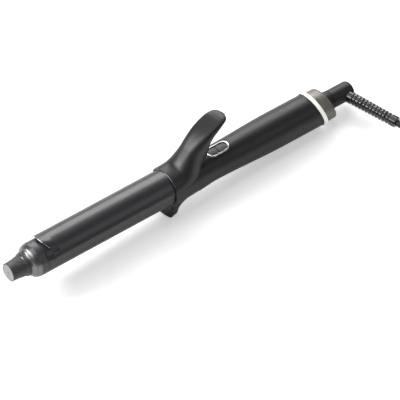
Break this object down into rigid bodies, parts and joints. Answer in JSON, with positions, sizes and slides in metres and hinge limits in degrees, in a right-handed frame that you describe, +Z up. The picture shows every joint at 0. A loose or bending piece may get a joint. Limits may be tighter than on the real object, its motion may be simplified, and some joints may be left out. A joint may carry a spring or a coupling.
{
  "type": "curling tong",
  "caption": "Electric hair curling tong: heated round barrel with a sprung clamp on a thumb lever, waisted handle with keys and a stand foot, turning cord exit and mains lead.",
  "frame": {"origin": "on the surface the tong rests on, below the middle of its length, cord left out", "axes": "+X from the cool tip to the cord end, +Z up, +Y to the side away from the strain relief"},
  "size_m": [0.5206, 0.1245, 0.0824],
  "materials": {
    "soft_touch_black": "soft-touch matte",
    "charcoal_coating": "dark satin coating",
    "tip_plastic": "fine textured",
    "satin_grey": "satin",
    "bright_trim": "bright",
    "key_grey": "matte",
    "white_ring": "satin white",
    "taupe_cap": "satin metallic",
    "black_pvc": "semi-gloss",
    "bright_steel": "plain",
    "plain_aluminium": "plain",
    "copper_alloy": "plain",
    "white_ceramic": "matte",
    "chassis_plastic": "matte",
    "board_green": "matte",
    "wire_red": "matte",
    "wire_blue": "matte",
    "nickel_brass": "nickel plated"
  },
  "bodies": {
    "handle": {"handle_sleeve": "soft_touch_black", "cord_tie": "soft_touch_black", "barrel": "charcoal_coating", "cool_tip": "tip_plastic", "tip_disc": "satin_grey", "barrel_end_cap": "satin_grey", "button_bezel": "bright_trim", "light_ring": "white_ring", "rear_cap": "taupe_cap", "foot_pad": "black_pvc", "neck_collar": "black_pvc", "cord": "black_pvc", "cord_coil": "black_pvc", "plug_relief": "black_pvc", "plug_body": "black_pvc", "tip_screw": "bright_steel", "thermal_fuse": "bright_steel", "lever_pin": "bright_steel", "torsion_spring": "bright_steel", "board_screw_front": "bright_steel", "board_screw_rear": "bright_steel", "cap_screw_left": "bright_steel", "cap_screw_right": "bright_steel", "heat_spreader_upper": "plain_aluminium", "heat_spreader_lower": "plain_aluminium", "board_choke": "copper_alloy", "brush_live": "copper_alloy", "brush_neutral": "copper_alloy", "barrel_bush": "white_ceramic", "heater_core": "white_ceramic", "thermistor": "white_ceramic", "lever_spacer": "chassis_plastic", "inner_chassis": "chassis_plastic", "board_capacitor": "chassis_plastic", "board_triac": "chassis_plastic", "control_chip": "chassis_plastic", "front_switch": "chassis_plastic", "rear_switch": "chassis_plastic", "control_board": "board_green", "switch_board": "board_green", "heater_lead_live": "wire_red", "heater_lead_neutral": "wire_blue", "plug_pin_left": "nickel_brass", "plug_pin_right": "nickel_brass"},
    "clamp": {"thumb_lever": "soft_touch_black", "clamp_plate": "charcoal_coating", "clamp_screw_front": "bright_steel", "clamp_screw_rear": "bright_steel"},
    "front_button": {"front_button": "key_grey"},
    "rear_button": {"rear_button": "key_grey"},
    "cord_swivel": {"swivel_neck": "black_pvc", "strain_relief": "black_pvc", "slip_ring_live": "copper_alloy", "slip_ring_neutral": "copper_alloy", "swivel_clip": "bright_steel"}
  },
  "joints": [
    {"name": "clamp_hinge", "type": "hinge", "parent": "handle", "child": "clamp", "pos_m": [0.01645, 0, 0.03341], "axis": [0, 1, 0], "range_deg": [0, 30], "stiffness_Nm_per_rad": 0.15, "springref_deg": -28.65, "deforming": ["torsion_spring"]},
    {"name": "front_key", "type": "slide", "parent": "handle", "child": "front_button", "axis": [-0.0505, 0, -0.9987], "range_m": [0, 0.0006], "stiffness_N_per_m": 100, "springref_m": -0.001},
    {"name": "rear_key", "type": "slide", "parent": "handle", "child": "rear_button", "axis": [-0.0505, 0, -0.9987], "range_m": [0, 0.0006], "stiffness_N_per_m": 100, "springref_m": -0.001},
    {"name": "cord_swivel", "type": "hinge", "parent": "handle", "child": "cord_swivel", "pos_m": [0.17064, 0, 0.01761], "axis": [0.9987, 0, -0.0505], "continuous": true, "deforming": ["cord"]}
  ]
}
